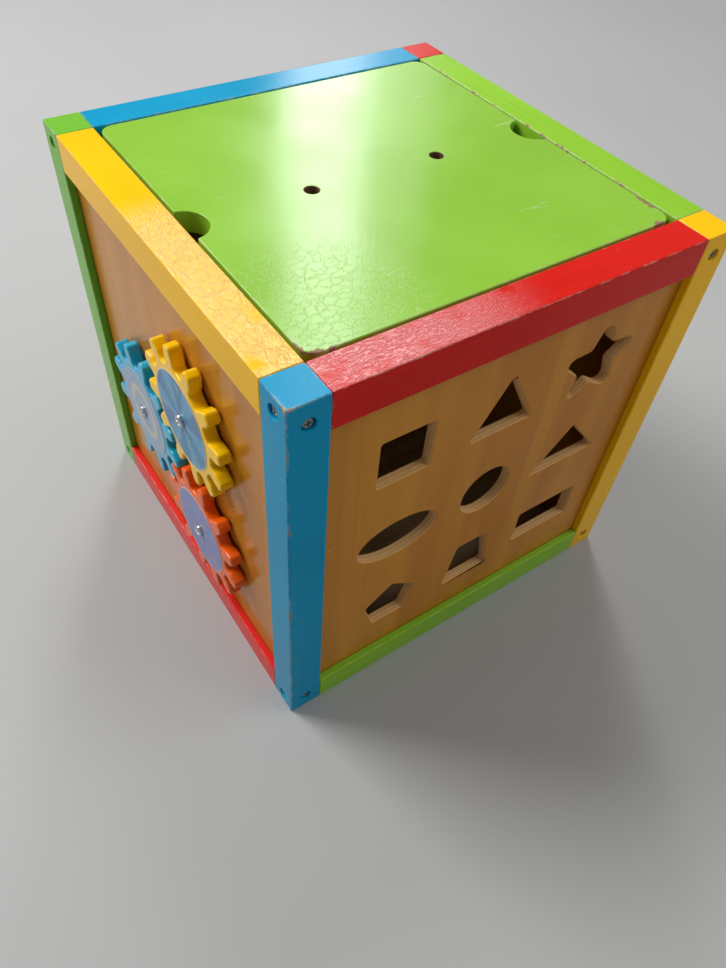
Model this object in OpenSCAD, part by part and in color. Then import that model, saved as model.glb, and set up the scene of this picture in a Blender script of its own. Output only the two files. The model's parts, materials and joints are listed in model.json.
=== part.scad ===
// Wooden activity cube: a framed box with a shape sorter in front, gears on the left,
// counting beads on the right, a toy clock on the back and a lift-off lid.
// Origin: middle of the cube on the floor. +Z is up, the sorter faces -Y, the gears face -X.

/* [Frame] */
// Outer side of the cube
cube_w = 340; // [336:1:350]
// Width and depth of every post and rail
bar_w = 27; // [26:1:28]
// Rounding along the long edges of the bars
bar_round = 1.2; // [0.6:0.2:2]

/* [Panels] */
// Thickness of the plywood side panels
panel_t = 9; // [8:0.5:10]
// How far the side panels sit in from the outside of the frame
panel_inset = 6; // [5:0.5:7]
// Depth of the grooves that hold the panels and the floor board
groove_d = 6; // [4:0.5:6]
// Thickness of the thinner panel behind the beads
bead_panel_t = 5; // [4:0.5:5]
// Height of the floor board's underside
floor_z = 9; // [8:0.5:9]
// Thickness of the floor board
floor_t = 9; // [7:0.5:9]

/* [Lid] */
// Thickness of the lid
lid_t = 15; // [12:0.5:18]
// Gap all round the lid
lid_gap = 2; // [1:0.5:3]
// Corner radius of the lid
lid_corner_r = 10; // [6:1:14]
// Diameter of the two holes in the lid
lid_hole_d = 10; // [8:0.5:12]
// Distance between the two holes in the lid
lid_hole_pitch = 103; // [80:1:120]
// Radius of the finger notches in the lid's left and right edges
notch_r = 16.5; // [12:0.5:20]
// Width and height of the battens that the lid rests on
ledge_w = 12; // [10:1:14]

/* [Frame screws] */
// Diameter of the screw heads
screw_head_d = 8; // [7:0.5:8]
// Diameter of the screw shanks
screw_shank_d = 3.8; // [3:0.1:4]
// Length of the screws under the head
screw_len = 45; // [40:1:60]
// Diameter of the recesses for the screw heads
recess_d = 9; // [8.6:0.1:10]
// Depth of the recesses for the screw heads
recess_depth = 4; // [3.5:0.5:6]

/* [Sorter holes] */
// Corner radius of the sorter holes
hole_round = 2; // [0.5:0.5:2.5]
// Side of the square hole
square_w = 41; // [38:0.5:43]
// Radius of the round hole
round_r = 22.5; // [20:0.5:25]
// Circumradius of the pentagon hole
pentagon_r = 24.5; // [22:0.5:26]
// Radius of the star hole over its tips, before they are rounded
star_r = 41; // [36:0.5:42]
// Radius at the valleys of the star hole
star_valley_r = 17; // [15:0.5:18]
// Rounding radius of the star's tips
star_tip_round = 5.5; // [4:0.5:6]
// Rounding radius of the star's valleys
star_valley_round = 4; // [3:0.5:5]

/* [Blocks] */
// Length of every sorter block, through its hole
block_t = 32; // [26:1:34]
// Size of a block compared with its hole
block_scale = 0.94; // [0.9:0.01:0.96]

/* [Gears] */
// Number of teeth on each gear
teeth = 12; // [12:1:12]
// Distance between the shafts of two meshed gears
shaft_gap = 105; // [104.6:0.1:105.6]
// Radius over the tooth tips
tip_r = 58; // [57:0.1:58.2]
// Radius at the tooth shoulders
shoulder_r = 49.5; // [49:0.1:50]
// Radius at the tooth roots
root_r = 42.5; // [42:0.1:43]
// Thickness of the gears
gear_t = 10; // [8:0.5:10]
// Direction from the middle gear to the upper gear, from +Y towards +Z
upper_gear_dir = 143.5; // [140:0.5:146]
// Direction from the middle gear to the lower gear, from +Y towards +Z
lower_gear_dir = 214; // [212:0.5:218]
// Angle of one tooth tip of the upper gear
upper_gear_phase = 19.5; // [0:0.5:30]
// Radius of the printed disc on each gear
print_r = 37.5; // [34:0.5:38]

/* [Beads] */
// Number of beads on each rod
beads_per_rod = 5; // [3:1:8]
// Radius of the beads
bead_r = 14.5; // [13:0.1:14.6]
// Width of a bead along its rod
bead_w = 21; // [18:0.5:22]
// Radius of the bead rods
rod_r = 2.5; // [2:0.1:2.8]

/* [Clock] */
// Radius of the printed dial
dial_r = 104; // [90:1:110]
// Length of the minute hand from its shaft
minute_len = 80; // [70:1:84]
// Length of the hour hand from its shaft
hour_len = 54; // [45:1:60]
// Thickness of each clock hand
hand_t = 1.8; // [1.4:0.1:1.8]

/* [Hidden] */
$fn = 48;

// Frame: outside, inside and middle lines of the bars
half = cube_w / 2;
inner = half - bar_w;
bar_mid = half - bar_w / 2;
lid_z = cube_w - lid_t;
floor_top = floor_z + floor_t;
slack = 1;

// Screw heights: the front and back pairs miss the left and right pairs inside the posts
front_screw_z = [15, cube_w - 16];
side_screw_z = [10, cube_w - 11.5];
head_h = 2.8;
hole_play = 0.4;
cross_w = 1.1;
cross_depth = 1.4;

// Running fit of everything that turns or slides on a shaft
play_r = 0.05;
thin_gap = 0.2;

// Sorter holes: middle of each hole, across and up
SQUARE_AT = [-82.5, 254.2];
TRIANGLE_AT = [-1.6, 234.8];
STAR_AT = [80.5, 259];
OVAL_AT = [-78.8, 168.2];
ROUND_AT = [0.5, 170.5];
WEDGE_AT = [81.5, 157.4];
PENTAGON_AT = [-76.8, 81.4];
TRAPEZOID_AT = [2.4, 60];
RECTANGLE_AT = [85, 87.8];
triangle_size = [55, 48.5];
oval_size = [67.5, 38.5];
wedge_size = [70.5, 40];
trapezoid_size = [46.5, 29.3, 46.5];
rectangle_size = [62, 35.5];

// Gears: tooth shape as half angles and corner radii at the tip, shoulder and root
tip_half = 4.2;
shoulder_half = 7.2;
tip_round = 3.2;
shoulder_round = 6;
root_round = 4;
tooth_step = 360 / teeth;
MIDDLE_GEAR_AT = [49.1, 158.7];
UPPER_GEAR_AT = MIDDLE_GEAR_AT + shaft_gap * [cos(upper_gear_dir), sin(upper_gear_dir)];
LOWER_GEAR_AT = MIDDLE_GEAR_AT + shaft_gap * [cos(lower_gear_dir), sin(lower_gear_dir)];
middle_gear_phase = meshed_phase(upper_gear_phase, upper_gear_dir);
lower_gear_phase = meshed_phase(middle_gear_phase, lower_gear_dir);
panel_face = half - panel_inset;
washer_t = 1.2;
washer_r = 7;
gear_back = panel_face + washer_t + thin_gap;
gear_front = gear_back + gear_t;
print_t = 0.3;
print_hole_r = 3;
shaft_r = 2.5;
shaft_head_r = 5;
shaft_head_z = gear_front + print_t + thin_gap;

// Beads: the rods run from front post to back post and sink into both
rod_x = shaft_head_z + head_h - bead_r;
rod_sink = 10;
ROD_Z = [250, 170, 90];
bead_start = 2;

// Clock: the hands stack outwards from the dial, each clear of the next
CLOCK_AT = [0, 170];
dial_t = 0.2;
hour_y = panel_face + dial_t + thin_gap;
minute_y = hour_y + hand_t + thin_gap;
clock_head_y = minute_y + hand_t + thin_gap;
clock_head_h = 1.4;
hub_r = 9;
hand_w = 9;
hand_point = 14;

// ---- Shapes used by several pieces ----

// Tooth phase of a gear that meshes with one of phase p lying in the direction dir
function meshed_phase(p, dir) = (2 * dir + tooth_step / 2 - p) % tooth_step;

// Angle a brought between -180 and 180 degrees
function wrapped(a) = a - 360 * floor((a + 180) / 360);

// Corner b between a and c, rounded to radius r in the given number of steps
function corner(a, b, c, r, steps) =
    let (u = (a - b) / norm(a - b))
    let (v = (c - b) / norm(c - b))
    let (half_angle = acos(u * v) / 2)
    let (reach = min(r / tan(half_angle), 0.49 * norm(a - b), 0.49 * norm(c - b)))
    let (rr = reach * tan(half_angle))
    let (centre = b + (u + v) / norm(u + v) * rr / sin(half_angle))
    let (p = b + u * reach - centre)
    let (q = b + v * reach - centre)
    let (start = atan2(p[1], p[0]))
    let (sweep = wrapped(atan2(q[1], q[0]) - start))
    [for (k = [0:steps]) centre + rr * [cos(start + sweep * k / steps), sin(start + sweep * k / steps)]];

// Outline with its corners rounded, by one radius or by a repeating list of radii
function rounded(points, r, steps = 4) =
    let (n = len(points))
    [for (i = [0:n - 1])
        each corner(points[(i + n - 1) % n], points[i], points[(i + 1) % n],
            is_list(r) ? r[i % len(r)] : r, steps)];

function at_angle(r, a) = r * [cos(a), sin(a)];

function box_outline(w, d) = [[-w / 2, -d / 2], [w / 2, -d / 2], [w / 2, d / 2], [-w / 2, d / 2]];

function ring_outline(r, n, start) = [for (k = [0:n - 1]) at_angle(r, start + k * 360 / n)];

// Turns a piece drawn on the front side to the left side, the back or the right side
module to_left() { rotate([0, 0, -90]) children(); }
module to_back() { rotate([0, 0, 180]) children(); }
module to_right() { rotate([0, 0, 90]) children(); }

// Square bar with rounded long edges, standing on the origin
module bar(length) {
    linear_extrude(length) polygon(rounded(box_outline(bar_w, bar_w), bar_round));
}

// Plain plate on the front side, its outer face at the given depth, with its edges in the grooves
module side_plate(face_y, t) {
    reach = inner + groove_d;
    translate([-reach, face_y, bar_w - groove_d])
        cube([2 * reach, t, cube_w - 2 * bar_w + 2 * groove_d]);
}

module panel_plate() { side_plate(-panel_face, panel_t); }
module bead_plate() { to_right() side_plate(-inner - bead_panel_t, bead_panel_t); }

// Floor board with its corners cut away for the posts
module floor_plate() {
    reach = inner + groove_d;
    translate([-reach, -inner, floor_z]) cube([2 * reach, 2 * inner, floor_t]);
    translate([-inner, -reach, floor_z]) cube([2 * inner, 2 * reach, floor_t]);
}

// Grooves in the bars for the panels and the floor board
module grooves() {
    panel_plate();
    to_left() panel_plate();
    to_back() panel_plate();
    bead_plate();
    floor_plate();
}

// Places a piece at each frame screw, its +Z pointing into the wood
module at_screws() {
    for (side = [0:3], x = [-bar_mid, bar_mid], level = [0, 1])
        rotate([0, 0, 90 * side])
            translate([x, -half, side % 2 == 0 ? front_screw_z[level] : side_screw_z[level]])
                rotate([-90, 0, 0]) children();
}

module screw_hole() {
    translate([0, 0, -slack]) cylinder(h = recess_depth + slack, d = recess_d);
    cylinder(h = recess_depth + screw_len + slack, d = screw_shank_d + hole_play);
}

// Pan head seen from its flat underside, with a cross recess in its top
module pan_head(r, h) {
    profile = [[0, 0], [r, 0], [r, h * 0.45], [r * 0.86, h * 0.8], [r * 0.55, h], [0, h]];
    slot_len = r * 1.2;
    difference() {
        rotate_extrude() polygon(profile);
        translate([-slot_len / 2, -cross_w / 2, h - cross_depth])
            cube([slot_len, cross_w, cross_depth + slack]);
        translate([-cross_w / 2, -slot_len / 2, h - cross_depth])
            cube([cross_w, slot_len, cross_depth + slack]);
    }
}

module rod_holes() {
    for (z = ROD_Z)
        translate([rod_x, -inner - rod_sink - thin_gap, z]) rotate([-90, 0, 0])
            cylinder(h = 2 * (inner + rod_sink + thin_gap), r = rod_r + play_r);
}

// Post whose middle line stands at the given corner
module post(sx, sy) {
    difference() {
        translate([sx * bar_mid, sy * bar_mid, 0]) bar(cube_w);
        grooves();
        at_screws() screw_hole();
        rod_holes();
    }
}

// Rail along X on the front side, its middle line at the given height
module rail(z) {
    translate([-inner, -bar_mid, z]) rotate([90, 0, 90]) bar(2 * inner);
}

// Turns a front rail to its side and cuts it for the panel, the floor board and the screws
module cut_rail(turn, z) {
    difference() {
        rotate([0, 0, turn]) rail(z);
        grooves();
        at_screws() screw_hole();
    }
}

// ---- Sorter shapes, drawn flat: X is across, Y is up ----

module square_shape() { polygon(rounded(box_outline(square_w, square_w), hole_round)); }

module triangle_shape() {
    w = triangle_size[0];
    polygon(rounded([[-w / 2, 0], [w / 2, 0], [0, triangle_size[1]]], hole_round));
}

module star_shape() {
    tips = [for (k = [0:4]) each [at_angle(star_r, 90 + 72 * k), at_angle(star_valley_r, 126 + 72 * k)]];
    polygon(rounded(tips, [star_tip_round, star_valley_round]));
}

module oval_shape() {
    w = oval_size[0];
    d = oval_size[1];
    polygon([for (a = [0:7.5:359]) [w / 2 * cos(a), d / 2 * sin(a)]]);
}

module wedge_shape() {
    w = wedge_size[0];
    polygon(rounded([[-w / 2, 0], [w / 2, 0], [0, wedge_size[1]]], hole_round));
}

module pentagon_shape() { polygon(rounded(ring_outline(pentagon_r, 5, 90), hole_round)); }

module trapezoid_shape() {
    b = trapezoid_size[0];
    t = trapezoid_size[1];
    h = trapezoid_size[2];
    polygon(rounded([[-b / 2, 0], [b / 2, 0], [t / 2, h], [-t / 2, h]], hole_round));
}

module rectangle_shape() { polygon(rounded(box_outline(rectangle_size[0], rectangle_size[1]), hole_round)); }

// Cuts a flat shape through the front panel
module sorter_hole(place) {
    translate([place[0], -panel_face + panel_t + slack, place[1]]) rotate([90, 0, 0])
        linear_extrude(panel_t + 2 * slack) children();
}

// ---- Frame ----

module post_front_left() { color([0.10, 0.45, 0.66]) post(-1, -1); }
module post_front_right() { color([0.98, 0.72, 0.05]) post(1, -1); }
module post_back_left() { color([0.30, 0.62, 0.20]) post(-1, 1); }
module post_back_right() { color([0.80, 0.15, 0.10]) post(1, 1); }

top_rail_z = cube_w - bar_w / 2;
bottom_rail_z = bar_w / 2;

module rail_top_front() { color([0.82, 0.16, 0.10]) cut_rail(0, top_rail_z); }
module rail_top_left() { color([0.98, 0.72, 0.05]) cut_rail(-90, top_rail_z); }
module rail_top_back() { color([0.10, 0.45, 0.66]) cut_rail(180, top_rail_z); }
module rail_top_right() { color([0.50, 0.75, 0.22]) cut_rail(90, top_rail_z); }
module rail_bottom_front() { color([0.50, 0.72, 0.20]) cut_rail(0, bottom_rail_z); }
module rail_bottom_left() { color([0.80, 0.15, 0.10]) cut_rail(-90, bottom_rail_z); }
module rail_bottom_back() { color([0.98, 0.72, 0.05]) cut_rail(180, bottom_rail_z); }
module rail_bottom_right() { color([0.10, 0.45, 0.66]) cut_rail(90, bottom_rail_z); }

module frame_screws() {
    color([0.45, 0.45, 0.47]) at_screws() translate([0, 0, recess_depth]) {
        rotate([180, 0, 0]) pan_head(screw_head_d / 2, head_h);
        cylinder(h = screw_len, d = screw_shank_d);
    }
}

// ---- Panels, floor board and ledges ----

module panel_sorter() {
    color([0.78, 0.52, 0.22]) difference() {
        panel_plate();
        sorter_hole(SQUARE_AT) square_shape();
        sorter_hole(TRIANGLE_AT) triangle_shape();
        sorter_hole(STAR_AT) star_shape();
        sorter_hole(OVAL_AT) oval_shape();
        translate([ROUND_AT[0], 0, ROUND_AT[1]]) rotate([90, 0, 0]) cylinder(h = half, r = round_r);
        sorter_hole(WEDGE_AT) wedge_shape();
        sorter_hole(PENTAGON_AT) pentagon_shape();
        sorter_hole(TRAPEZOID_AT) trapezoid_shape();
        sorter_hole(RECTANGLE_AT) rectangle_shape();
    }
}

// Places a piece on the left side at a point given as [Y, Z], its +Z pointing into the cube
module on_left(place, outer_x) {
    translate([-outer_x, place[0], place[1]]) rotate([90, 0, 90]) children();
}

module panel_gears() {
    color([0.78, 0.52, 0.22]) difference() {
        to_left() panel_plate();
        for (place = [MIDDLE_GEAR_AT, UPPER_GEAR_AT, LOWER_GEAR_AT])
            on_left(place, half) cylinder(h = bar_w, r = shaft_r + play_r);
    }
}

module panel_clock() {
    color([0.78, 0.52, 0.22]) difference() {
        to_back() panel_plate();
        translate([CLOCK_AT[0], inner, CLOCK_AT[1]]) rotate([-90, 0, 0])
            cylinder(h = bar_w, r = shaft_r + play_r);
    }
}

module panel_beads() { color([0.78, 0.52, 0.22]) bead_plate(); }
module floor_board() { color([0.80, 0.62, 0.38]) floor_plate(); }

module ledge_front() {
    color([0.80, 0.62, 0.38]) translate([-inner, -inner, lid_z - ledge_w])
        cube([2 * inner, ledge_w, ledge_w]);
}

module ledge_back() { to_back() ledge_front(); }

// ---- Lid ----

module lid() {
    lid_w = 2 * (inner - lid_gap);
    color([0.58, 0.80, 0.26]) translate([0, 0, lid_z]) difference() {
        linear_extrude(lid_t) polygon(rounded(box_outline(lid_w, lid_w), lid_corner_r, 8));
        for (sx = [-1, 1]) {
            translate([sx * lid_hole_pitch / 2, 0, -slack]) cylinder(h = lid_t + 2 * slack, d = lid_hole_d);
            translate([sx * inner, 0, -slack]) cylinder(h = lid_t + 2 * slack, r = notch_r);
        }
    }
}

// ---- Gears ----

module gear_outline(phase) {
    points = [for (k = [0:teeth - 1]) each [
        at_angle(root_r, phase + k * tooth_step - shoulder_half),
        at_angle(shoulder_r, phase + k * tooth_step - shoulder_half),
        at_angle(tip_r, phase + k * tooth_step - tip_half),
        at_angle(tip_r, phase + k * tooth_step + tip_half),
        at_angle(shoulder_r, phase + k * tooth_step + shoulder_half),
        at_angle(root_r, phase + k * tooth_step + shoulder_half)
    ]];
    radii = [root_round, shoulder_round, tip_round, tip_round, shoulder_round, root_round];
    polygon(rounded(points, radii, 3));
}

module gear(place, phase) {
    on_left(place, gear_front) difference() {
        linear_extrude(gear_t) gear_outline(phase);
        translate([0, 0, -slack]) cylinder(h = gear_t + 2 * slack, r = shaft_r + play_r);
    }
}

module gear_print(place) {
    on_left(place, gear_front + print_t) difference() {
        cylinder(h = print_t, r = print_r);
        translate([0, 0, -slack]) cylinder(h = print_t + 2 * slack, r = print_hole_r);
    }
}

module gear_yellow() { color([0.96, 0.74, 0.10]) gear(UPPER_GEAR_AT, upper_gear_phase); }
module gear_blue() { color([0.20, 0.50, 0.72]) gear(MIDDLE_GEAR_AT, middle_gear_phase); }
module gear_orange() { color([0.90, 0.38, 0.08]) gear(LOWER_GEAR_AT, lower_gear_phase); }
module print_yellow_gear() { color([0.30, 0.65, 0.68]) gear_print(UPPER_GEAR_AT); }
module print_blue_gear() { color([0.80, 0.72, 0.76]) gear_print(MIDDLE_GEAR_AT); }
module print_orange_gear() { color([0.50, 0.42, 0.66]) gear_print(LOWER_GEAR_AT); }

module gear_washers() {
    color([0.70, 0.70, 0.72]) for (place = [MIDDLE_GEAR_AT, UPPER_GEAR_AT, LOWER_GEAR_AT])
        on_left(place, panel_face + washer_t) difference() {
            cylinder(h = washer_t, r = washer_r);
            translate([0, 0, -slack]) cylinder(h = washer_t + 2 * slack, r = shaft_r + play_r);
        }
}

module gear_screws() {
    shank_len = shaft_head_z - panel_face + panel_t - slack;
    color([0.80, 0.80, 0.82]) for (place = [MIDDLE_GEAR_AT, UPPER_GEAR_AT, LOWER_GEAR_AT])
        on_left(place, shaft_head_z) {
            rotate([180, 0, 0]) pan_head(shaft_head_r, head_h);
            cylinder(h = shank_len, r = shaft_r);
        }
}

// ---- Counting beads ----

module bead_rods() {
    color([0.75, 0.75, 0.77]) for (z = ROD_Z)
        translate([rod_x, -inner - rod_sink, z]) rotate([-90, 0, 0])
            cylinder(h = 2 * (inner + rod_sink), r = rod_r);
}

// Row of round beads, pushed up to the front post
module bead_row(z) {
    for (k = [0:beads_per_rod - 1])
        translate([rod_x, -inner + bead_start + (k + 0.5) * bead_w, z]) rotate([-90, 0, 0])
            difference() {
                intersection() {
                    sphere(r = bead_r);
                    translate([0, 0, -bead_w / 2]) cylinder(h = bead_w - thin_gap / 2, r = bead_r + slack);
                }
                cylinder(h = 2 * bead_w, r = rod_r + play_r, center = true);
            }
}

module beads_top() { color([0.82, 0.14, 0.10]) bead_row(ROD_Z[0]); }
module beads_middle() { color([0.98, 0.74, 0.06]) bead_row(ROD_Z[1]); }
module beads_bottom() { color([0.10, 0.45, 0.66]) bead_row(ROD_Z[2]); }

// ---- Clock ----

// Places a piece on the back at the clock's shaft, its +Z pointing out of the cube
module on_clock(y) { translate([CLOCK_AT[0], y, CLOCK_AT[1]]) rotate([-90, 0, 0]) children(); }

module clock_dial() {
    color([0.95, 0.92, 0.80]) on_clock(panel_face) difference() {
        cylinder(h = dial_t, r = dial_r);
        translate([0, 0, -slack]) cylinder(h = dial_t + 2 * slack, r = shaft_r + play_r);
    }
}

// Pointer with a round hub, turned by the given angle from straight up
module hand(length, turn) {
    rotate([0, 0, turn]) difference() {
        union() {
            cylinder(h = hand_t, r = hub_r);
            linear_extrude(hand_t) polygon([[-hand_w / 2, 0], [hand_w / 2, 0],
                [hand_w / 2, -length + hand_point], [0, -length], [-hand_w / 2, -length + hand_point]]);
        }
        translate([0, 0, -slack]) cylinder(h = hand_t + 2 * slack, r = shaft_r + play_r);
    }
}

module hour_hand() { color([0.82, 0.14, 0.10]) on_clock(hour_y) hand(hour_len, 60); }
module minute_hand() { color([0.10, 0.45, 0.66]) on_clock(minute_y) hand(minute_len, -60); }

module clock_screw() {
    shank_len = clock_head_y - panel_face + panel_t - slack;
    color([0.80, 0.80, 0.82]) {
        on_clock(clock_head_y) pan_head(shaft_head_r, clock_head_h);
        on_clock(panel_face - panel_t + slack) cylinder(h = shank_len, r = shaft_r);
    }
}

// ---- Sorter blocks, lying on the floor board ----

// Lays a block flat, its middle at the given point, turned about the vertical
module block(place, turn) {
    translate([place[0], place[1], floor_top]) rotate([0, 0, turn])
        linear_extrude(block_t) scale(block_scale) children();
}

module block_square() { color([0.10, 0.45, 0.66]) block([-114, 108], 10) square_shape(); }
module block_triangle() { color([0.50, 0.75, 0.22]) block([110, 78], 0) triangle_shape(); }
module block_star() { color([0.98, 0.74, 0.06]) block([-58, 103], 10) star_shape(); }
module block_oval() { color([0.10, 0.45, 0.66]) block([56, 112], 0) oval_shape(); }
module block_round() { color([0.50, 0.75, 0.22]) block([-2, 106], 0) circle(r = round_r); }
module block_wedge() { color([0.98, 0.74, 0.06]) block([4, 32], 5) wedge_shape(); }
module block_pentagon() { color([0.82, 0.14, 0.10]) block([-112, 50], 8) pentagon_shape(); }
module block_trapezoid() { color([0.98, 0.74, 0.06]) block([-62, 26], -6) trapezoid_shape(); }

// The rectangle block stands on its end
module block_rectangle() {
    stand_x = -132;
    stand_y = -12;
    color([0.82, 0.14, 0.10])
        translate([stand_x, stand_y, floor_top + rectangle_size[0] * block_scale / 2]) rotate([90, 90, 90])
            linear_extrude(block_t) scale(block_scale) rectangle_shape();
}

post_front_left();
post_front_right();
post_back_left();
post_back_right();
rail_top_front();
rail_top_left();
rail_top_back();
rail_top_right();
rail_bottom_front();
rail_bottom_left();
rail_bottom_back();
rail_bottom_right();
frame_screws();
panel_sorter();
panel_gears();
panel_clock();
panel_beads();
floor_board();
ledge_front();
ledge_back();
lid();
gear_yellow();
gear_blue();
gear_orange();
print_yellow_gear();
print_blue_gear();
print_orange_gear();
gear_washers();
gear_screws();
bead_rods();
beads_top();
beads_middle();
beads_bottom();
clock_dial();
hour_hand();
minute_hand();
clock_screw();
block_square();
block_triangle();
block_star();
block_oval();
block_round();
block_wedge();
block_pentagon();
block_trapezoid();
block_rectangle();
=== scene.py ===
import json
import math

import bpy
from mathutils import Matrix, Vector


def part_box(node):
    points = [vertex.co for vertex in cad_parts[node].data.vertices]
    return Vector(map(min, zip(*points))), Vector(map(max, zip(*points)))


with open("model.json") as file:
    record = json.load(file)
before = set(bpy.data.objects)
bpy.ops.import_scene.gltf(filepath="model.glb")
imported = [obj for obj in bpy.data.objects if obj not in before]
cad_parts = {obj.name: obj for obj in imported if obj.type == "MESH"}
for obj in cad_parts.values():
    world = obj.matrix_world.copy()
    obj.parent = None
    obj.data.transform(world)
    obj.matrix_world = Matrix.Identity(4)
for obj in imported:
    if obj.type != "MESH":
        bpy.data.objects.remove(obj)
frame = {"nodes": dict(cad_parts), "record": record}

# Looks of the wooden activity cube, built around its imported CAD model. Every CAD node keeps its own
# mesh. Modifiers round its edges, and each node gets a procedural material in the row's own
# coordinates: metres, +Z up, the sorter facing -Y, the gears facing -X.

MM = 0.001
X, Y, Z = 0, 1, 2
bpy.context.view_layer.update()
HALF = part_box("post_front_right")[1].x
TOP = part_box("post_front_right")[1].z
BAR_WIDTH = 0.027

# Camera: where it stands, the way it looks, how far it leans in degrees, and its lens and sensor
# in millimetres
CAMERA_AT = Vector((-0.2994, -0.3997, 0.5977))
CAMERA_LOOKS = Vector((0.4012, 0.5112, -0.7601))
CAMERA_LEAN = 5.55
CAMERA_LENS = 28.48
SENSOR_WIDTH = 36.0

# Refractive index of the satin paint on the bars, the varnish, the glossy paint on most of the rest,
# the lid's paint, and the thick gloss on two of the gears
SATIN_INDEX = 1.18
VARNISH_INDEX = 1.26
GLOSS_INDEX = 1.35
LID_INDEX = 1.39
THICK_INDEX = 1.5


def srgb(red, green, blue):
    """A colour given as 0 to 255 screen values, as the linear values that shaders use."""
    def linear(value):
        share = value / 255
        return share / 12.92 if share <= 0.04045 else ((share + 0.055) / 1.055) ** 2.4
    return (linear(red), linear(green), linear(blue), 1.0)


def blend(share, first, second):
    """The colour that share of the way from first to second."""
    return tuple(start + (end - start) * share for start, end in zip(first, second))


# Paints and woods
WHITE = (1.0, 1.0, 1.0, 1.0)
BLACK = (0.0, 0.0, 0.0, 1.0)
YELLOW = srgb(252, 192, 4)
RED = srgb(208, 30, 20)
# A lighter red whose extra lightness is painted sheen, standing in for the floor's reflection on the
# bottom left rail
RED_WITH_PAINTED_SHEEN = srgb(228, 44, 38)
GREEN = srgb(142, 196, 50)
LID_GREEN = srgb(138, 189, 52)
DEEP_GREEN = srgb(112, 178, 52)
BLUE = srgb(8, 148, 190)
ORANGE = srgb(236, 94, 12)
GEAR_YELLOW = srgb(255, 202, 6)
GEAR_BLUE = srgb(24, 168, 206)
BARE_WOOD = srgb(206, 182, 150)
EDGE_WOOD = srgb(208, 196, 176)
OLD_WOOD = srgb(120, 88, 62)
PLY_LIGHT = srgb(200, 134, 36)
PLY_DARK = srgb(184, 114, 28)
# Pale ply of the sawn edges, which also serves as painted highlight on the eased front edges
CUT_AND_HIGHLIGHT_LIGHT = srgb(240, 194, 132)
CUT_AND_HIGHLIGHT_DARK = srgb(212, 158, 98)

# How far in from an edge paint is chipped away and rubbed thin, for each unit of wear, and how
# sharply each ends, in metres
CHIP_REACH = 0.026
CHIP_RAGGED = 0.0015
CHIP_FADE = 0.00035
RUB_REACH = 0.0045
RUB_FADE = 0.0006

# Radius of the printed discs on the gears, in metres
DISC_RADIUS = 0.0375

# Depth of the relief that a material's full height stands for, in metres
PAINT_RELIEF = 0.0003
PLY_RELIEF = 0.0002
FINE_RELIEF = 0.0001


# ---------------------------------------------------------------- shader building

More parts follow.
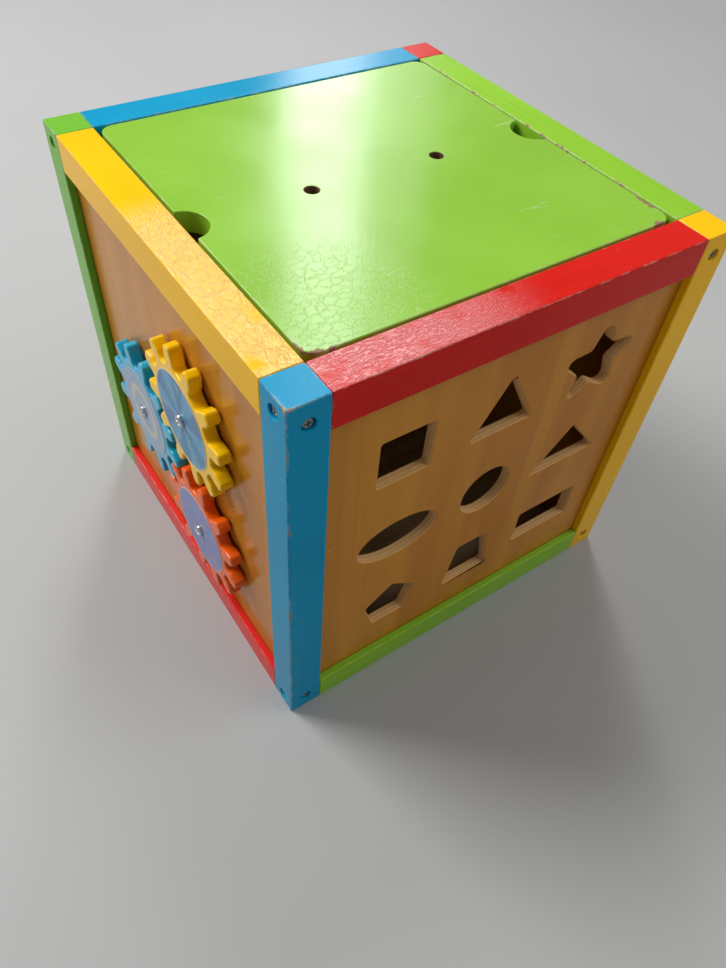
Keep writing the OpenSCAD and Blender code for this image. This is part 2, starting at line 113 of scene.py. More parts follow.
class Shader:
    """One material's node tree, with a short method for each kind of step."""

    def __init__(self, name):
        self.material = bpy.data.materials.new(name)
        self.material.use_nodes = True
        self.tree = self.material.node_tree
        self.tree.nodes.clear()
        self.surface = self.add("ShaderNodeBsdfPrincipled")
        output = self.add("ShaderNodeOutputMaterial")
        self.tree.links.new(self.surface.outputs["BSDF"], output.inputs["Surface"])
        texture = self.add("ShaderNodeTexCoord")
        self.place = texture.outputs["Object"]
        self.normal = texture.outputs["Normal"]

    def add(self, kind, **settings):
        node = self.tree.nodes.new(kind)
        for key, value in settings.items():
            setattr(node, key, value)
        return node

    def feed(self, socket, value):
        """Links a socket into an input, or sets the input to a plain value."""
        if isinstance(value, bpy.types.NodeSocket):
            self.tree.links.new(value, socket)
        else:
            socket.default_value = value

    def math(self, operation, *values):
        node = self.add("ShaderNodeMath", operation=operation)
        for socket, value in zip(node.inputs, values):
            self.feed(socket, value)
        return node.outputs[0]

    def parts(self, vector):
        """The X, Y and Z of a vector."""
        node = self.add("ShaderNodeSeparateXYZ")
        self.feed(node.inputs[0], vector)
        return node.outputs[0], node.outputs[1], node.outputs[2]

    def map(self, scale=(1, 1, 1), shift=(0, 0, 0), turn=(0, 0, 0)):
        """The place on the object, stretched, shifted and turned."""
        node = self.add("ShaderNodeMapping")
        self.feed(node.inputs["Vector"], self.place)
        node.inputs["Scale"].default_value = scale
        node.inputs["Location"].default_value = shift
        node.inputs["Rotation"].default_value = turn
        return node.outputs[0]

    def noise(self, vector, detail=2.0, rough=0.5, warp=0.0):
        """Noise whose size the scale of vector sets."""
        node = self.add("ShaderNodeTexNoise")
        self.feed(node.inputs["Vector"], vector)
        node.inputs["Scale"].default_value = 1.0
        node.inputs["Detail"].default_value = detail
        node.inputs["Roughness"].default_value = rough
        node.inputs["Distortion"].default_value = warp
        return node.outputs["Fac"]

    def cells(self, vector, scale, feature="F1", scatter=1.0):
        node = self.add("ShaderNodeTexVoronoi", feature=feature)
        self.feed(node.inputs["Vector"], vector)
        node.inputs["Scale"].default_value = scale
        node.inputs["Randomness"].default_value = scatter
        return node.outputs["Distance"]

    def ramp(self, value, low, high, start=0.0, end=1.0):
        """value from low to high becomes start to end, smoothly, and stays there outside."""
        node = self.add("ShaderNodeMapRange", interpolation_type="SMOOTHSTEP")
        for socket, item in zip(node.inputs, (value, low, high, start, end)):
            self.feed(socket, item)
        return node.outputs[0]

    def mix(self, share, first, second):
        node = self.add("ShaderNodeMix", data_type="RGBA")
        self.feed(node.inputs["Factor"], share)
        self.feed(node.inputs[6], first)
        self.feed(node.inputs[7], second)
        return node.outputs[2]

    def scratches(self, shift):
        """Sparse thin scratches, as 1 on a scratch and 0 elsewhere: three sets of long bent lines,
        each set kept to a few small patches."""
        found = None
        for order, turn in enumerate(((0.0, 0.0, 0.5), (0.0, 0.4, 1.7), (0.3, 0.0, -0.6))):
            cloud = self.noise(self.map((26, 26, 26), (order * 3.0, shift[1], shift[2])), detail=1.0)
            lines = self.noise(self.map((6, 120, 120), (shift[0] + order, 0, 0), turn), detail=0.0)
            off = self.math("ABSOLUTE", self.math("SUBTRACT", lines, 0.5))
            thin = self.ramp(off, 0.003, 0.009, 1.0, 0.0)
            line = self.math("MULTIPLY", thin, self.ramp(cloud, 0.64, 0.69))
            found = line if found is None else self.math("MAXIMUM", found, line)
        return found

    def inside(self, centre, half, soft):
        """1 within a box about centre, fading to 0 over the distance soft outside it."""
        share = None
        for value, middle, reach in zip(self.parts(self.place), centre, half):
            off = self.math("ABSOLUTE", self.math("SUBTRACT", value, middle))
            part = self.ramp(off, reach, reach + soft, 1.0, 0.0)
            share = part if share is None else self.math("MULTIPLY", share, part)
        return share

    def edge_distance(self, corners):
        """Distance from a point on a box's surface to the box's nearest edge, in metres."""
        low, high = corners
        middle = (low + high) / 2
        sides = []
        for value, centre, reach in zip(self.parts(self.place), middle, (high - low) / 2):
            off = self.math("ABSOLUTE", self.math("SUBTRACT", value, centre))
            sides.append(self.math("SUBTRACT", reach, off))
        first, second, third = sides
        nearer = self.math("MINIMUM", first, second)
        farther = self.math("MAXIMUM", first, second)
        return self.math("MAXIMUM", nearer, self.math("MINIMUM", farther, third))

    def bump(self, height, strength, depth):
        node = self.add("ShaderNodeBump")
        node.inputs["Strength"].default_value = strength
        node.inputs["Distance"].default_value = depth
        self.feed(node.inputs["Height"], height)
        return node.outputs[0]

    def coat(self, weight, index, roughness, normal):
        """Lays a second layer of thick gloss over the surface."""
        self.feed(self.surface.inputs["Coat Weight"], weight)
        self.surface.inputs["Coat Roughness"].default_value = roughness
        self.surface.inputs["Coat IOR"].default_value = index
        self.feed(self.surface.inputs["Coat Normal"], normal)

    def finish(self, colour, roughness, normal=None, metallic=0.0, index=GLOSS_INDEX):
        """Sets the surface and hands the material over."""
        self.feed(self.surface.inputs["Base Color"], colour)
        self.feed(self.surface.inputs["Roughness"], roughness)
        self.surface.inputs["Metallic"].default_value = metallic
        self.surface.inputs["IOR"].default_value = index
        if normal is not None:
            self.feed(self.surface.inputs["Normal"], normal)
        return self.material


def along(axis, fine, coarse):
    """A scale that is coarse along one axis and fine across it, as wood grain is."""
    return tuple(coarse if index == axis else fine for index in (X, Y, Z))


# ---------------------------------------------------------------- materials

def painted_wood(
    name, colour, corners, axis, seed, chips=0.66, worn=(), aged=None, roughness=0.2,
    peel_depth=1.0, marks=0.0, dirt=0.15
):
    """Paint on wood: brush lines, orange peel and dull patches, rubbed through along the edges and
    chipped down to the wood in places. chips is how rare chips are, and worn lists places (centre,
    half, soft, by how much) that have more. aged is where the paint has cracked and wrinkled, how
    much, and the refractive index and roughness of any thick gloss there. marks is how plain the
    scratches are, and dirt how dirty the bared wood is."""
    s = Shader(name)
    shift = (seed * 1.7, seed * 0.9, seed * 2.3)
    grain = s.noise(s.map(along(axis, 520, 9), shift), detail=4.0, rough=0.6)
    broad = s.noise(s.map((9, 9, 9), shift), detail=3.0)
    peel = s.noise(s.map((360, 360, 360), shift), detail=2.0)
    specks = s.noise(s.map((900, 900, 900), shift), detail=1.0)

    tone = s.mix(s.ramp(broad, 0.3, 0.7), blend(0.92, BLACK, colour), colour)
    tone = s.mix(s.ramp(grain, 0.5, 0.72, 0.0, 0.35 * peel_depth), tone, blend(0.7, BLACK, colour))
    tone = s.mix(s.ramp(specks, 0.72, 0.78, 0.0, 0.25), tone, blend(0.4, colour, WHITE))
    brushed = s.math("MULTIPLY", grain, 0.4 * peel_depth)
    height = s.math("ADD", brushed, s.math("MULTIPLY", peel, 0.3 * peel_depth))
    if marks > 0:
        scratch = s.scratches(shift)
        tone = s.mix(s.math("MULTIPLY", scratch, marks), tone, blend(0.5, colour, WHITE))
        height = s.math("SUBTRACT", height, s.math("MULTIPLY", scratch, 0.6 * marks))
    if aged is not None:
        place, cracking, wrinkling, gloss = aged
        here, cracks, wrinkles = old_paint(s, axis, shift, place)
        crack_tone = blend(0.35, OLD_WOOD, colour)
        tone = s.mix(s.math("MULTIPLY", cracks, 0.8 * cracking), tone, crack_tone)
        height = s.math("ADD", height, s.math("MULTIPLY", wrinkles, 6.0 * wrinkling))
        height = s.math("SUBTRACT", height, s.math("MULTIPLY", cracks, 3.0 * cracking))

    edge = s.edge_distance(corners)
    ragged = s.noise(s.map((85, 85, 85), shift), detail=6.0, rough=0.66)
    fine = s.noise(s.map((420, 420, 420), shift), detail=3.0, rough=0.6)
    rubbed = s.math("ADD", s.math("SUBTRACT", ragged, 0.53), s.math("MULTIPLY", fine, 0.4))
    eager = s.math("SUBTRACT", ragged, chips)
    for centre, half, soft, amount in worn:
        extra = s.math("MULTIPLY", s.inside(centre, half, soft), amount)
        eager = s.math("ADD", eager, extra)
        rubbed = s.math("ADD", rubbed, extra)
    reach = s.math("MULTIPLY", eager, CHIP_REACH)
    reach = s.math("ADD", reach, s.math("MULTIPLY", s.math("SUBTRACT", fine, 0.5), CHIP_RAGGED))
    chip = s.ramp(s.math("SUBTRACT", reach, edge), 0.0, CHIP_FADE)
    thinned = s.math("SUBTRACT", s.math("MULTIPLY", rubbed, RUB_REACH), edge)
    rub = s.ramp(thinned, 0.0, RUB_FADE, 0.0, 0.42)
    tone = s.mix(rub, tone, blend(0.6, colour, EDGE_WOOD))
    wood = s.mix(s.ramp(grain, 0.35, 0.65), BARE_WOOD, srgb(176, 142, 100))
    wood = s.mix(s.ramp(ragged, 0.5, 0.7, dirt, 0.85), wood, OLD_WOOD)
    tone = s.mix(chip, tone, wood)

    height = s.math("SUBTRACT", height, s.math("MULTIPLY", chip, 1.8))
    dull = s.ramp(broad, 0.35, 0.7, roughness - 0.04, roughness + 0.06)
    dull = s.math("ADD", dull, s.math("MULTIPLY", chip, 0.45))
    normal = s.bump(height, 0.3, PAINT_RELIEF)
    if aged is not None and gloss is not None:
        s.coat(here, *gloss, normal)
    return s, tone, dull, normal


def old_paint(s, axis, shift, place):
    """Hairline cracks between small cells of paint, and long low wrinkles, within a place."""
    wander = s.add("ShaderNodeTexNoise")
    wander.inputs["Detail"].default_value = 1.0
    s.feed(wander.inputs["Vector"], s.map((120, 120, 120), shift))
    bent = s.add("ShaderNodeVectorMath", operation="MULTIPLY_ADD")
    s.feed(bent.inputs[0], wander.outputs["Color"])
    bent.inputs[1].default_value = (0.7, 0.7, 0.7)
    s.feed(bent.inputs[2], s.map(along(axis, 170, 120), shift))
    cells = s.cells(bent.outputs[0], 1.0, feature="DISTANCE_TO_EDGE")
    upward = s.ramp(s.parts(s.normal)[Z], 0.6, 0.9)
    patch = s.ramp(s.noise(s.map((30, 30, 30), shift), detail=3.0), 0.3, 0.46)
    here = s.math("MULTIPLY", s.math("MULTIPLY", s.inside(*place), patch), upward)
    cracks = s.math("MULTIPLY", s.ramp(cells, 0.02, 0.08, 1.0, 0.0), here)
    ridge = s.noise(s.map(along(axis, 620, 170), shift), detail=3.0, rough=0.6, warp=1.2)
    wrinkles = s.math("MULTIPLY", s.ramp(ridge, 0.42, 0.62), here)
    return here, cracks, wrinkles


def paint(*details, index=GLOSS_INDEX, **more):
    """A finished painted material."""
    s, tone, dull, normal = painted_wood(*details, **more)
    return s.finish(tone, dull, normal, index=index)


def painted_lid(corners, holes, hole_radius):
    """The lid: smooth thick paint, worn at its corners and along its right edge, and bare wood inside
    its two holes, coloured dark brown there as painted shade."""
    low, high = corners
    side = (high.x - low.x) / 2
    worn = [
        ((-side, -side, high.z), (0.014, 0.010, 0.01), 0.018, 0.25),
        ((side, -side, high.z), (0.014, 0.014, 0.01), 0.03, 0.2),
        ((side, 0.0, high.z), (0.002, side, 0.01), 0.006, 0.12),
    ]
    aged = (((-0.8 * side, -0.8 * side, high.z), (0.03, 0.03, 0.004), 0.06), 0.14, 0.0, None)
    s, tone, dull, normal = painted_wood(
        "lid_paint", LID_GREEN, corners, X, 21, chips=0.68, worn=worn, aged=aged, roughness=0.19,
        peel_depth=0.3, marks=0.2, dirt=0.7
    )
    for across in holes:
        radius = radius_about(s, (across, 0.0, 0.0), X, Y)
        hole_wall_and_painted_shade = s.ramp(radius, hole_radius + 0.0002, hole_radius + 0.0008, 1.0, 0.0)
        # The hole walls are bare wood, coloured darker brown than bare wood as painted shade inside the
        # holes
        tone = s.mix(hole_wall_and_painted_shade, tone, blend(0.5, OLD_WOOD, srgb(92, 66, 40)))
        dull = s.math("ADD", dull, s.math("MULTIPLY", hole_wall_and_painted_shade, 0.5))
    return s.finish(tone, dull, normal, index=LID_INDEX)


def varnished_ply(name, face_axis, layer_at, thickness, seed, roughness=0.26):
    """Varnished plywood, its grain upright: soft figure, fine pores and a few scuffs, and pale plies on
    its sawn edges, whose pale colour also covers the outer part of the eased front edges as a painted
    highlight. face_axis is the axis that its faces look along, layer_at its middle on it."""
    s = Shader(name)
    shift = (seed * 1.3, seed * 2.1, seed * 0.7)
    figure = s.noise(s.map((34, 34, 1.4), shift), detail=5.0, rough=0.55, warp=0.4)
    streak = s.noise(s.map((420, 420, 5), shift), detail=3.0, rough=0.6)
    pores = s.noise(s.map((1500, 1500, 55), shift), detail=2.0, rough=0.5)
    blotch = s.noise(s.map((6, 6, 4), shift), detail=2.0)
    scuff = s.scratches(shift)

    tone = s.mix(s.ramp(figure, 0.34, 0.68), PLY_LIGHT, PLY_DARK)
    tone = s.mix(s.ramp(streak, 0.5, 0.8, 0.0, 0.3), tone, srgb(158, 98, 40))
    tone = s.mix(s.ramp(pores, 0.64, 0.76, 0.0, 0.4), tone, srgb(120, 72, 28))
    tone = s.mix(s.ramp(blotch, 0.3, 0.7, 0.0, 0.2), tone, srgb(216, 160, 86))
    tone = s.mix(s.math("MULTIPLY", scuff, 0.3), tone, srgb(226, 184, 124))

    facing = s.math("ABSOLUTE", s.parts(s.normal)[face_axis])
    # Faces that look across face_axis, the sawn walls and the outer part of the eased edges, take the
    # pale ply colour: on the eased edges it is a painted highlight
    sawn_faces_and_painted_highlight = s.ramp(facing, 0.45, 0.75, 1.0, 0.0)
    depth = s.math("SUBTRACT", s.parts(s.place)[face_axis], layer_at)
    wave = s.math("SINE", s.math("MULTIPLY", depth, 2 * math.pi * 2.5 / thickness))
    fuzz = s.noise(s.map((700, 700, 700), shift), detail=4.0, rough=0.7)
    plies = s.math("ADD", s.math("MULTIPLY", wave, 0.12), fuzz)
    sawn_plies_and_painted_highlight = s.mix(s.ramp(plies, 0.2, 0.9), CUT_AND_HIGHLIGHT_LIGHT, CUT_AND_HIGHLIGHT_DARK)
    tone = s.mix(sawn_faces_and_painted_highlight, tone, sawn_plies_and_painted_highlight)

    height = s.math("ADD", s.math("MULTIPLY", streak, 0.4), s.math("MULTIPLY", pores, 0.5))
    height = s.math("ADD", height, s.math("MULTIPLY", s.math("MULTIPLY", fuzz, sawn_faces_and_painted_highlight), 2.0))
    rough = s.ramp(blotch, 0.3, 0.7, roughness - 0.03, roughness + 0.05)
    rough = s.math("ADD", rough, s.math("MULTIPLY", sawn_faces_and_painted_highlight, 0.4))
    rough = s.math("ADD", rough, s.math("MULTIPLY", scuff, 0.15))
    return s.finish(tone, rough, s.bump(height, 0.25, PLY_RELIEF), index=VARNISH_INDEX)


def bare_wood(name, axis, seed):
    """Plain sanded wood with open grain."""
    s = Shader(name)
    shift = (seed * 1.1, seed * 1.9, seed)
    figure = s.noise(s.map(along(axis, 60, 4), shift), detail=5.0, warp=0.8)
    fibre = s.noise(s.map(along(axis, 900, 22), shift), detail=3.0)
    tone = s.mix(s.ramp(figure, 0.32, 0.68), BARE_WOOD, srgb(190, 146, 92))
    tone = s.mix(s.ramp(fibre, 0.5, 0.75, 0.0, 0.45), tone, srgb(146, 104, 60))
    return s.finish(tone, s.ramp(fibre, 0.3, 0.7, 0.5, 0.7), s.bump(fibre, 0.4, PAINT_RELIEF))


def steel(name, seed, shade=0.62, dulled=0.0):
    """Plated steel: fine brushing, small pits, and grime where it has collected. dulled is how much
    rougher than new it is."""
    s = Shader(name)
    shift = (seed, seed * 2.0, seed * 0.5)
    brush = s.noise(s.map((2600, 300, 2600), shift), detail=3.0)
    pits = s.noise(s.map((520, 520, 520), shift), detail=4.0, rough=0.7)
    tone = s.mix(s.ramp(pits, 0.55, 0.75), (shade, shade, shade * 1.03, 1), srgb(118, 106, 92))
    rough = s.ramp(brush, 0.3, 0.7, 0.18 + dulled, 0.34 + dulled)
    rough = s.math("ADD", rough, s.ramp(pits, 0.5, 0.8, 0.0, 0.25))
    return s.finish(tone, rough, s.bump(brush, 0.15, FINE_RELIEF), metallic=1.0)


def offsets(s, centre, first, second):
    """How far the place on the object is from a centre along two of the axes, in metres."""
    place = s.parts(s.place)
    across = s.math("SUBTRACT", place[first], centre[first])
    up = s.math("SUBTRACT", place[second], centre[second])
    return across, up


def radius_about(s, centre, first, second):
    """Distance from a centre in the plane of two of the axes, in metres."""
    across, up = offsets(s, centre, first, second)
    squares = s.math("ADD", s.math("MULTIPLY", across, across), s.math("MULTIPLY", up, up))
    return s.math("SQRT", squares)


def angle_about(s, centre, first, second):
    """Angle about a centre in the plane of two of the axes, from 0 to 1 all round."""
    across, up = offsets(s, centre, first, second)
    return s.math("ADD", s.math("DIVIDE", s.math("ARCTAN2", up, across), 2 * math.pi), 0.5)


def middle_of(node):
    low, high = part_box(node)
    return (low + high) / 2


def printed_disc(s, tone, edge_tone, radius, reach):
    """Finishes a printed disc: a soft worn rim, faint print grain and a satin face."""
    grain = s.noise(s.map((1500, 1500, 1500)), detail=2.0)
    rubbed = s.noise(s.map((60, 60, 60)), detail=4.0)
    tone = s.mix(s.ramp(grain, 0.3, 0.7, 0.0, 0.12), tone, WHITE)
    tone = s.mix(s.ramp(rubbed, 0.58, 0.75, 0.0, 0.4), tone, edge_tone)
    tone = s.mix(s.ramp(radius, reach - 0.0012, reach - 0.0004), tone, edge_tone)
    return s.finish(tone, s.ramp(rubbed, 0.3, 0.7, 0.3, 0.45), s.bump(grain, 0.1, FINE_RELIEF))


def ray_disc(name, node, rays):
    """Rays of two blues from the middle."""
    s = Shader(name)
    centre = middle_of(node)
    radius = radius_about(s, centre, Y, Z)
    angle = angle_about(s, centre, Y, Z)
    wobble = s.math("MULTIPLY", s.math("SUBTRACT", s.noise(s.map((45, 45, 45))), 0.5), 0.02)
    turns = s.math("MULTIPLY", s.math("ADD", angle, wobble), rays)
    side = s.math("PINGPONG", turns, 0.5)
    tone = s.mix(s.ramp(side, 0.2, 0.3), srgb(86, 148, 188), srgb(38, 98, 156))
    streaks = s.noise(s.map((60, 60, 60)), detail=2.0)
    tone = s.mix(s.ramp(streaks, 0.42, 0.62, 0.0, 0.55), tone, srgb(40, 146, 172))
    return printed_disc(s, tone, srgb(226, 200, 150), radius, DISC_RADIUS)


def ring_disc(name, node, rings):
    """Pale blue-grey with soft straw-coloured and pink rings."""
    s = Shader(name)
    radius = radius_about(s, middle_of(node), Y, Z)
    wave = s.math("SINE", s.math("MULTIPLY", radius, 2 * math.pi * rings / DISC_RADIUS))
    tone = s.mix(s.ramp(wave, 0.2, 0.9, 0.0, 0.5), srgb(132, 162, 188), srgb(190, 164, 178))
    straw_ring = 0.021
    off = s.math("ABSOLUTE", s.math("SUBTRACT", radius, straw_ring))
    tone = s.mix(s.ramp(off, 0.0012, 0.0035, 0.7, 0.0), tone, srgb(206, 196, 152))
    return printed_disc(s, tone, srgb(150, 186, 206), radius, DISC_RADIUS)


def spotted_disc(name, node):
    """Lavender blue with round pink and blue spots."""
    s = Shader(name)
    radius = radius_about(s, middle_of(node), Y, Z)
    cloud = s.noise(s.map((50, 50, 50)), detail=2.0)
    tone = s.mix(cloud, srgb(112, 122, 178), srgb(124, 140, 190))
    cells = s.cells(s.map((1, 1, 1)), 105.0, scatter=0.6)
    tone = s.mix(s.ramp(cells, 0.3, 0.36, 0.8, 0.0), tone, srgb(160, 112, 164))
    other = s.cells(s.map((1, 1, 1), shift=(0.5, 0.4, 0.2)), 90.0, scatter=0.6)
    tone = s.mix(s.ramp(other, 0.26, 0.32, 0.8, 0.0), tone, srgb(76, 128, 186))
    return printed_disc(s, tone, srgb(222, 176, 160), radius, DISC_RADIUS)


def clock_face(name, node):
    """Cream dial with a coloured rim and a plain dot at each hour."""
    s = Shader(name)
    centre = middle_of(node)
    low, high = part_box(node)
    reach = (high.x - low.x) / 2
    radius = radius_about(s, centre, X, Z)
    angle = angle_about(s, centre, X, Z)
    hours = 12
    hour = s.math("ADD", s.math("MULTIPLY", angle, hours), 0.5)
    turn = s.math("SUBTRACT", s.math("FRACT", hour), 0.5)
    dot_circle = reach * 0.8
    dot_radius = 0.0062
    sideways = s.math("MULTIPLY", turn, 2 * math.pi * dot_circle / hours)
    outward = s.math("SUBTRACT", radius, dot_circle)
    squares = s.math("ADD", s.math("MULTIPLY", sideways, sideways), s.math("MULTIPLY", outward, outward))
    dot = s.ramp(s.math("SQRT", squares), dot_radius, dot_radius + 0.0006, 1.0, 0.0)
    tone = s.mix(dot, srgb(244, 236, 208), srgb(196, 40, 30))
    tone = s.mix(s.ramp(radius, reach * 0.9, reach * 0.905), tone, BLUE)
    inner = s.ramp(radius, reach * 0.42, reach * 0.425, 1.0, 0.0)
    tone = s.mix(inner, tone, srgb(250, 206, 84))
    return printed_disc(s, tone, srgb(230, 222, 200), radius, reach)


def pale_floor():
    """Plain pale grey, a little cloudy."""
    s = Shader("pale_floor")
    cloud = s.noise(s.map((3, 3, 3)), detail=3.0)
    return s.finish(s.mix(cloud, (0.39, 0.39, 0.38, 1), (0.43, 0.43, 0.42, 1)), 0.6)


# ---------------------------------------------------------------- the CAD nodes

def dress(node, material):
    """Gives a CAD node one material."""
    mesh = frame["nodes"][node].data
    mesh.materials.clear()
    mesh.materials.append(material)


def soften(node, width, segments=3, sharp=32, clamp=True):
    """Rounds a CAD node's edges with modifiers, which leave its own mesh as it is. sharp is the
    least angle of an edge that is rounded, and clamp holds the rounding back to the smallest edge
    beside it."""
    part = frame["nodes"][node]
    for polygon in part.data.polygons:
        polygon.use_smooth = True
    weld = part.modifiers.new("weld", "WELD")
    weld.merge_threshold = 0.000002
    flat = part.modifiers.new("flat", "DECIMATE")
    flat.decimate_type = "DISSOLVE"
    flat.angle_limit = math.radians(0.4)
    round_off = part.modifiers.new("round_off", "BEVEL")
    round_off.width = width
    round_off.segments = segments
    round_off.use_clamp_overlap = clamp
    round_off.limit_method = "ANGLE"
    round_off.angle_limit = math.radians(sharp)
    even = part.modifiers.new("even", "WEIGHTED_NORMAL")
    even.mode = "FACE_AREA"
    even.weight = 100
    even.keep_sharp = True


BARS = (
    ("post_front_left", BLUE, Z), ("post_front_right", YELLOW, Z),
    ("post_back_left", DEEP_GREEN, Z), ("post_back_right", RED, Z),
    ("rail_top_front", RED, X), ("rail_top_left", YELLOW, Y),
    ("rail_top_back", BLUE, X), ("rail_top_right", GREEN, Y),
    # The bottom left rail takes the lighter red, whose extra lightness is painted sheen
    ("rail_bottom_front", GREEN, X), ("rail_bottom_left", RED_WITH_PAINTED_SHEEN, Y),
    ("rail_bottom_back", YELLOW, X), ("rail_bottom_right", BLUE, Y),
)
# Where the paint of two rails has aged: centre, half size and how far it fades, then how much it
# has cracked and wrinkled, and the index and roughness of its thick gloss
AGED = {
    "rail_top_front": (((-0.12, -HALF, TOP), (0.05, 0.03, 0.004), 0.09), 0.2, 0.55, (2.2, 0.4)),
    "rail_top_left": (((-HALF, -0.07, TOP), (0.03, 0.07, 0.004), 0.05), 0.6, 0.5, (1.7, 0.28)),
}
# Where bars have lost more paint along their edges, and how much
WORN = {
    "post_front_left": [
        ((-HALF, -HALF, TOP), (0.003, 0.003, 0.003), 0.012, 0.2),
        ((-HALF, -HALF, TOP), (0.036, 0.036, 0.002), 0.004, 0.07),
        ((-HALF, -HALF, 0.885 * TOP), (0.002, 0.002, 0.005), 0.008, 0.17),
        ((-HALF, -HALF, 0.72 * TOP), (0.002, 0.002, 0.003), 0.006, 0.12),
        ((-HALF, -HALF, 0.25 * TOP), (0.002, 0.002, 0.06), 0.02, 0.09),
    ],
    "rail_top_right": [((HALF - BAR_WIDTH, 0.0, TOP), (0.001, 0.14, 0.004), 0.004, 0.13)],
}


def dress_bars():
    """Posts and rails."""
    for seed, (node, colour, axis) in enumerate(BARS, start=1):
        material = paint(
            node + "_paint", colour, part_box(node), axis, seed,
            worn=WORN.get(node, ()), aged=AGED.get(node), index=SATIN_INDEX
        )
        dress(node, material)
        soften(node, 0.9 * MM, clamp=False)


def dress_lid():
    """The lid, whose holes are where the record's mount puts them."""
    mount = next(item for item in frame["record"]["mounts"] if item["name"] == "lid_holes")
    spacing = mount["dims"]["spacing_x_mm"] * MM
    hole_radius = mount["dims"]["hole_r_mm"] * MM
    dress("lid", painted_lid(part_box("lid"), (-spacing / 2, spacing / 2), hole_radius))
    soften("lid", 0.9 * MM, clamp=False)


def dress_panels():
    """Side panels, with the roughness of each one's varnish and the rounding of its edges in
    millimetres, then the floor board and the ledges."""
    panels = (
        ("panel_sorter", Y, 0.3, 1.5), ("panel_gears", X, 0.17, 0.5),
        ("panel_clock", Y, 0.26, 0.5), ("panel_beads", X, 0.26, 0.5),
    )
    for seed, (node, axis, roughness, ease) in enumerate(panels, start=3):
        low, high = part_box(node)
        middle = (low[axis] + high[axis]) / 2
        material = varnished_ply(node + "_varnish", axis, middle, high[axis] - low[axis], seed, roughness)
        dress(node, material)
        soften(node, ease * MM, clamp=False)
    for seed, node in enumerate(("floor_board", "ledge_front", "ledge_back"), start=9):
        dress(node, bare_wood(node + "_wood", X, seed))
        soften(node, 0.4 * MM, segments=1)


def dress_gears():
    """Gears and their printed discs."""
    gears = (
        ("yellow", GEAR_YELLOW, GLOSS_INDEX), ("blue", GEAR_BLUE, THICK_INDEX),
        ("orange", ORANGE, THICK_INDEX),
    )
    for seed, (name, colour, index) in enumerate(gears, start=31):
        node = "gear_" + name
        material = paint(
            node + "_paint", colour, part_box(node), Z, seed, chips=0.95, roughness=0.18, index=index
        )
        dress(node, material)
        soften(node, 1.6 * MM, clamp=False)
    dress("print_yellow_gear", ray_disc("ray_print", "print_yellow_gear", 6))
    dress("print_blue_gear", ring_disc("ring_print", "print_blue_gear", 5))
    dress("print_orange_gear", spotted_disc("spot_print", "print_orange_gear"))


def dress_metal():
    """Screws, washers and rods."""
    for seed, node in enumerate(("gear_screws", "gear_washers", "clock_screw", "bead_rods"), start=1):
        dress(node, steel(node + "_steel", seed))
        soften(node, 0.25 * MM, segments=2)
    dress("frame_screws", steel("frame_screws_steel", 7, shade=0.3, dulled=0.25))
    soften("frame_screws", 0.2 * MM, segments=1)


def dress_toys():
    """Beads, clock and loose blocks."""
    beads = (("beads_top", RED), ("beads_middle", YELLOW), ("beads_bottom", BLUE))
    for seed, (node, colour) in enumerate(beads, start=41):
        dress(node, paint(node + "_paint", colour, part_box(node), Y, seed, chips=1.0))
        soften(node, 0.8 * MM)
    dress("clock_dial", clock_face("dial_print", "clock_dial"))
    for seed, (node, colour) in enumerate((("hour_hand", RED), ("minute_hand", BLUE)), start=51):
        dress(node, paint(node + "_paint", colour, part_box(node), X, seed, chips=1.0))
        soften(node, 0.4 * MM)
    blocks = (
        ("square", BLUE), ("triangle", GREEN), ("star", YELLOW), ("oval", BLUE), ("round", GREEN),
        ("wedge", YELLOW), ("pentagon", RED), ("trapezoid", YELLOW), ("rectangle", RED),
    )
    for seed, (name, colour) in enumerate(blocks, start=61):
        node = "block_" + name
        dress(node, paint(node + "_paint", colour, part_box(node), Z, seed, chips=0.9))
        soften(node, 1.5 * MM)


# ---------------------------------------------------------------- room, light and camera

def build_stage():
    """A floor that runs well past the camera's view."""
    mesh = bpy.data.meshes.new("floor")
    reach = 4.0
    corners = [(-reach, -reach, 0), (reach, -reach, 0), (reach, reach, 0), (-reach, reach, 0)]
    mesh.from_pydata(corners, [], [(0, 1, 2, 3)])
    mesh.materials.append(pale_floor())
    floor = bpy.data.objects.new("floor", mesh)
    bpy.context.collection.objects.link(floor)


def area_light(name, place, target, width, height, power, tint=(1, 1, 1)):
    """A rectangular light that faces a target."""
    data = bpy.data.lights.new(name, "AREA")
    data.shape = "RECTANGLE"
    data.size = width
    data.size_y = height
    data.energy = power
    data.color = tint
    light = bpy.data.objects.new(name, data)
    light.location = place
    light.rotation_mode = "QUATERNION"
    light.rotation_quaternion = (Vector(target) - Vector(place)).to_track_quat("-Z", "Y")
    bpy.context.collection.objects.link(light)


def toward(azimuth, elevation, distance):
    """The point that far from the lid's middle, azimuth turning from +Y to +X."""
    turn = math.radians(azimuth)
    rise = math.radians(elevation)
    flat = math.cos(rise) * distance
    return Vector((math.sin(turn) * flat, math.cos(turn) * flat, TOP + math.sin(rise) * distance))


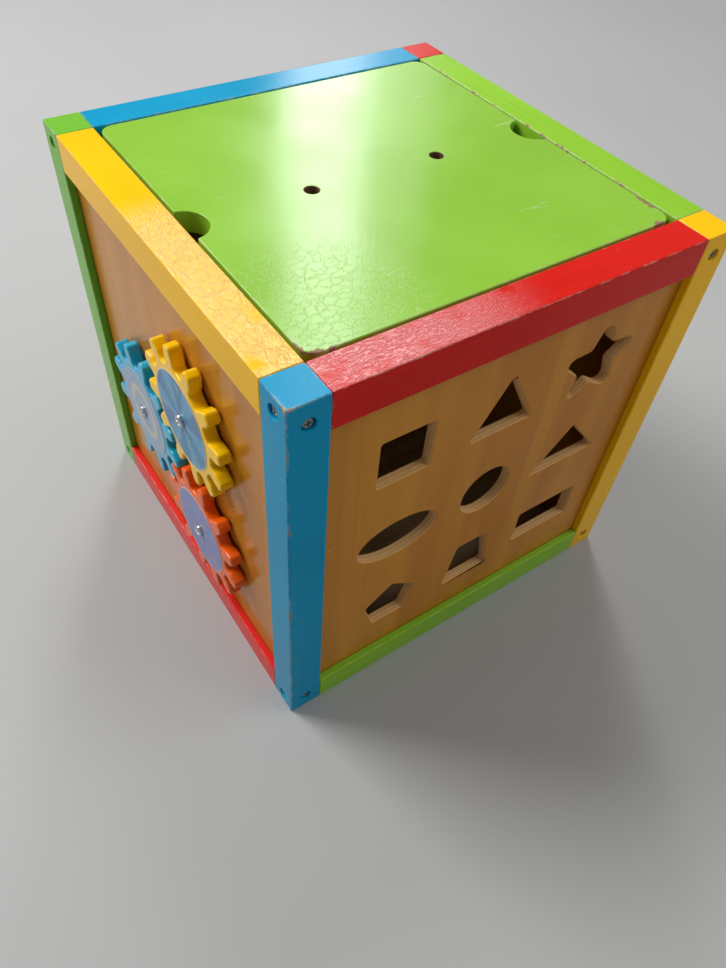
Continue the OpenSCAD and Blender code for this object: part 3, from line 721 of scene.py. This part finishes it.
def pane(name, azimuths, elevations, radiance, distance=6.5):
    """A window pane far from the lid, between two azimuths and two elevations in degrees."""
    azimuth = sum(azimuths) / 2
    elevation = sum(elevations) / 2
    rise = math.radians(elevation)
    width = 2 * distance * math.cos(rise) * math.tan(math.radians(azimuths[1] - azimuths[0]) / 2)
    height = 2 * distance * math.tan(math.radians(elevations[1] - elevations[0]) / 2)
    power = radiance * math.pi * width * height
    place = toward(azimuth, elevation, distance)
    area_light(name, place, (0, 0, TOP), width, height, power, tint=(0.96, 0.98, 1.0))


def build_lights():
    """A soft key behind the cube to the left, a tall narrow window far behind it that shines in
    the lid, a fill in front, and an even sky."""
    cube = (0.0, 0.0, TOP)
    area_light("key", toward(-36, 42, 2.6), cube, 1.3, 1.3, 70)
    area_light("fill", toward(130, 40, 2.6), cube, 1.8, 1.8, 20)
    pane("window_low", (29.2, 35.8), (15, 25), 7.0)
    pane("window_middle", (28.4, 35.2), (25, 31), 9.5)
    pane("window_high", (29.0, 36.2), (31, 44), 9.8)
    pane("window_top", (24, 46), (44, 62), 9.0)
    pane("window_side", (36, 41), (16, 44), 1.6)
    world = bpy.data.worlds.new("studio")
    world.use_nodes = True
    background = world.node_tree.nodes["Background"]
    background.inputs["Color"].default_value = (0.95, 0.97, 1.0, 1.0)
    background.inputs["Strength"].default_value = 0.25
    bpy.context.scene.world = world


def build_camera():
    """The camera, at the angle that the cube is seen from."""
    data = bpy.data.cameras.new("camera")
    data.lens = CAMERA_LENS
    data.sensor_width = SENSOR_WIDTH
    camera = bpy.data.objects.new("camera", data)
    turn = CAMERA_LOOKS.to_track_quat("-Z", "Y").to_matrix().to_4x4()
    lean = Matrix.Rotation(math.radians(CAMERA_LEAN), 4, "Z")
    camera.matrix_world = Matrix.Translation(CAMERA_AT) @ turn @ lean
    bpy.context.collection.objects.link(camera)
    bpy.context.scene.camera = camera
    bpy.context.scene.view_settings.view_transform = "Standard"


dress_bars()
dress_lid()
dress_panels()
dress_gears()
dress_metal()
dress_toys()
build_stage()
build_lights()
build_camera()
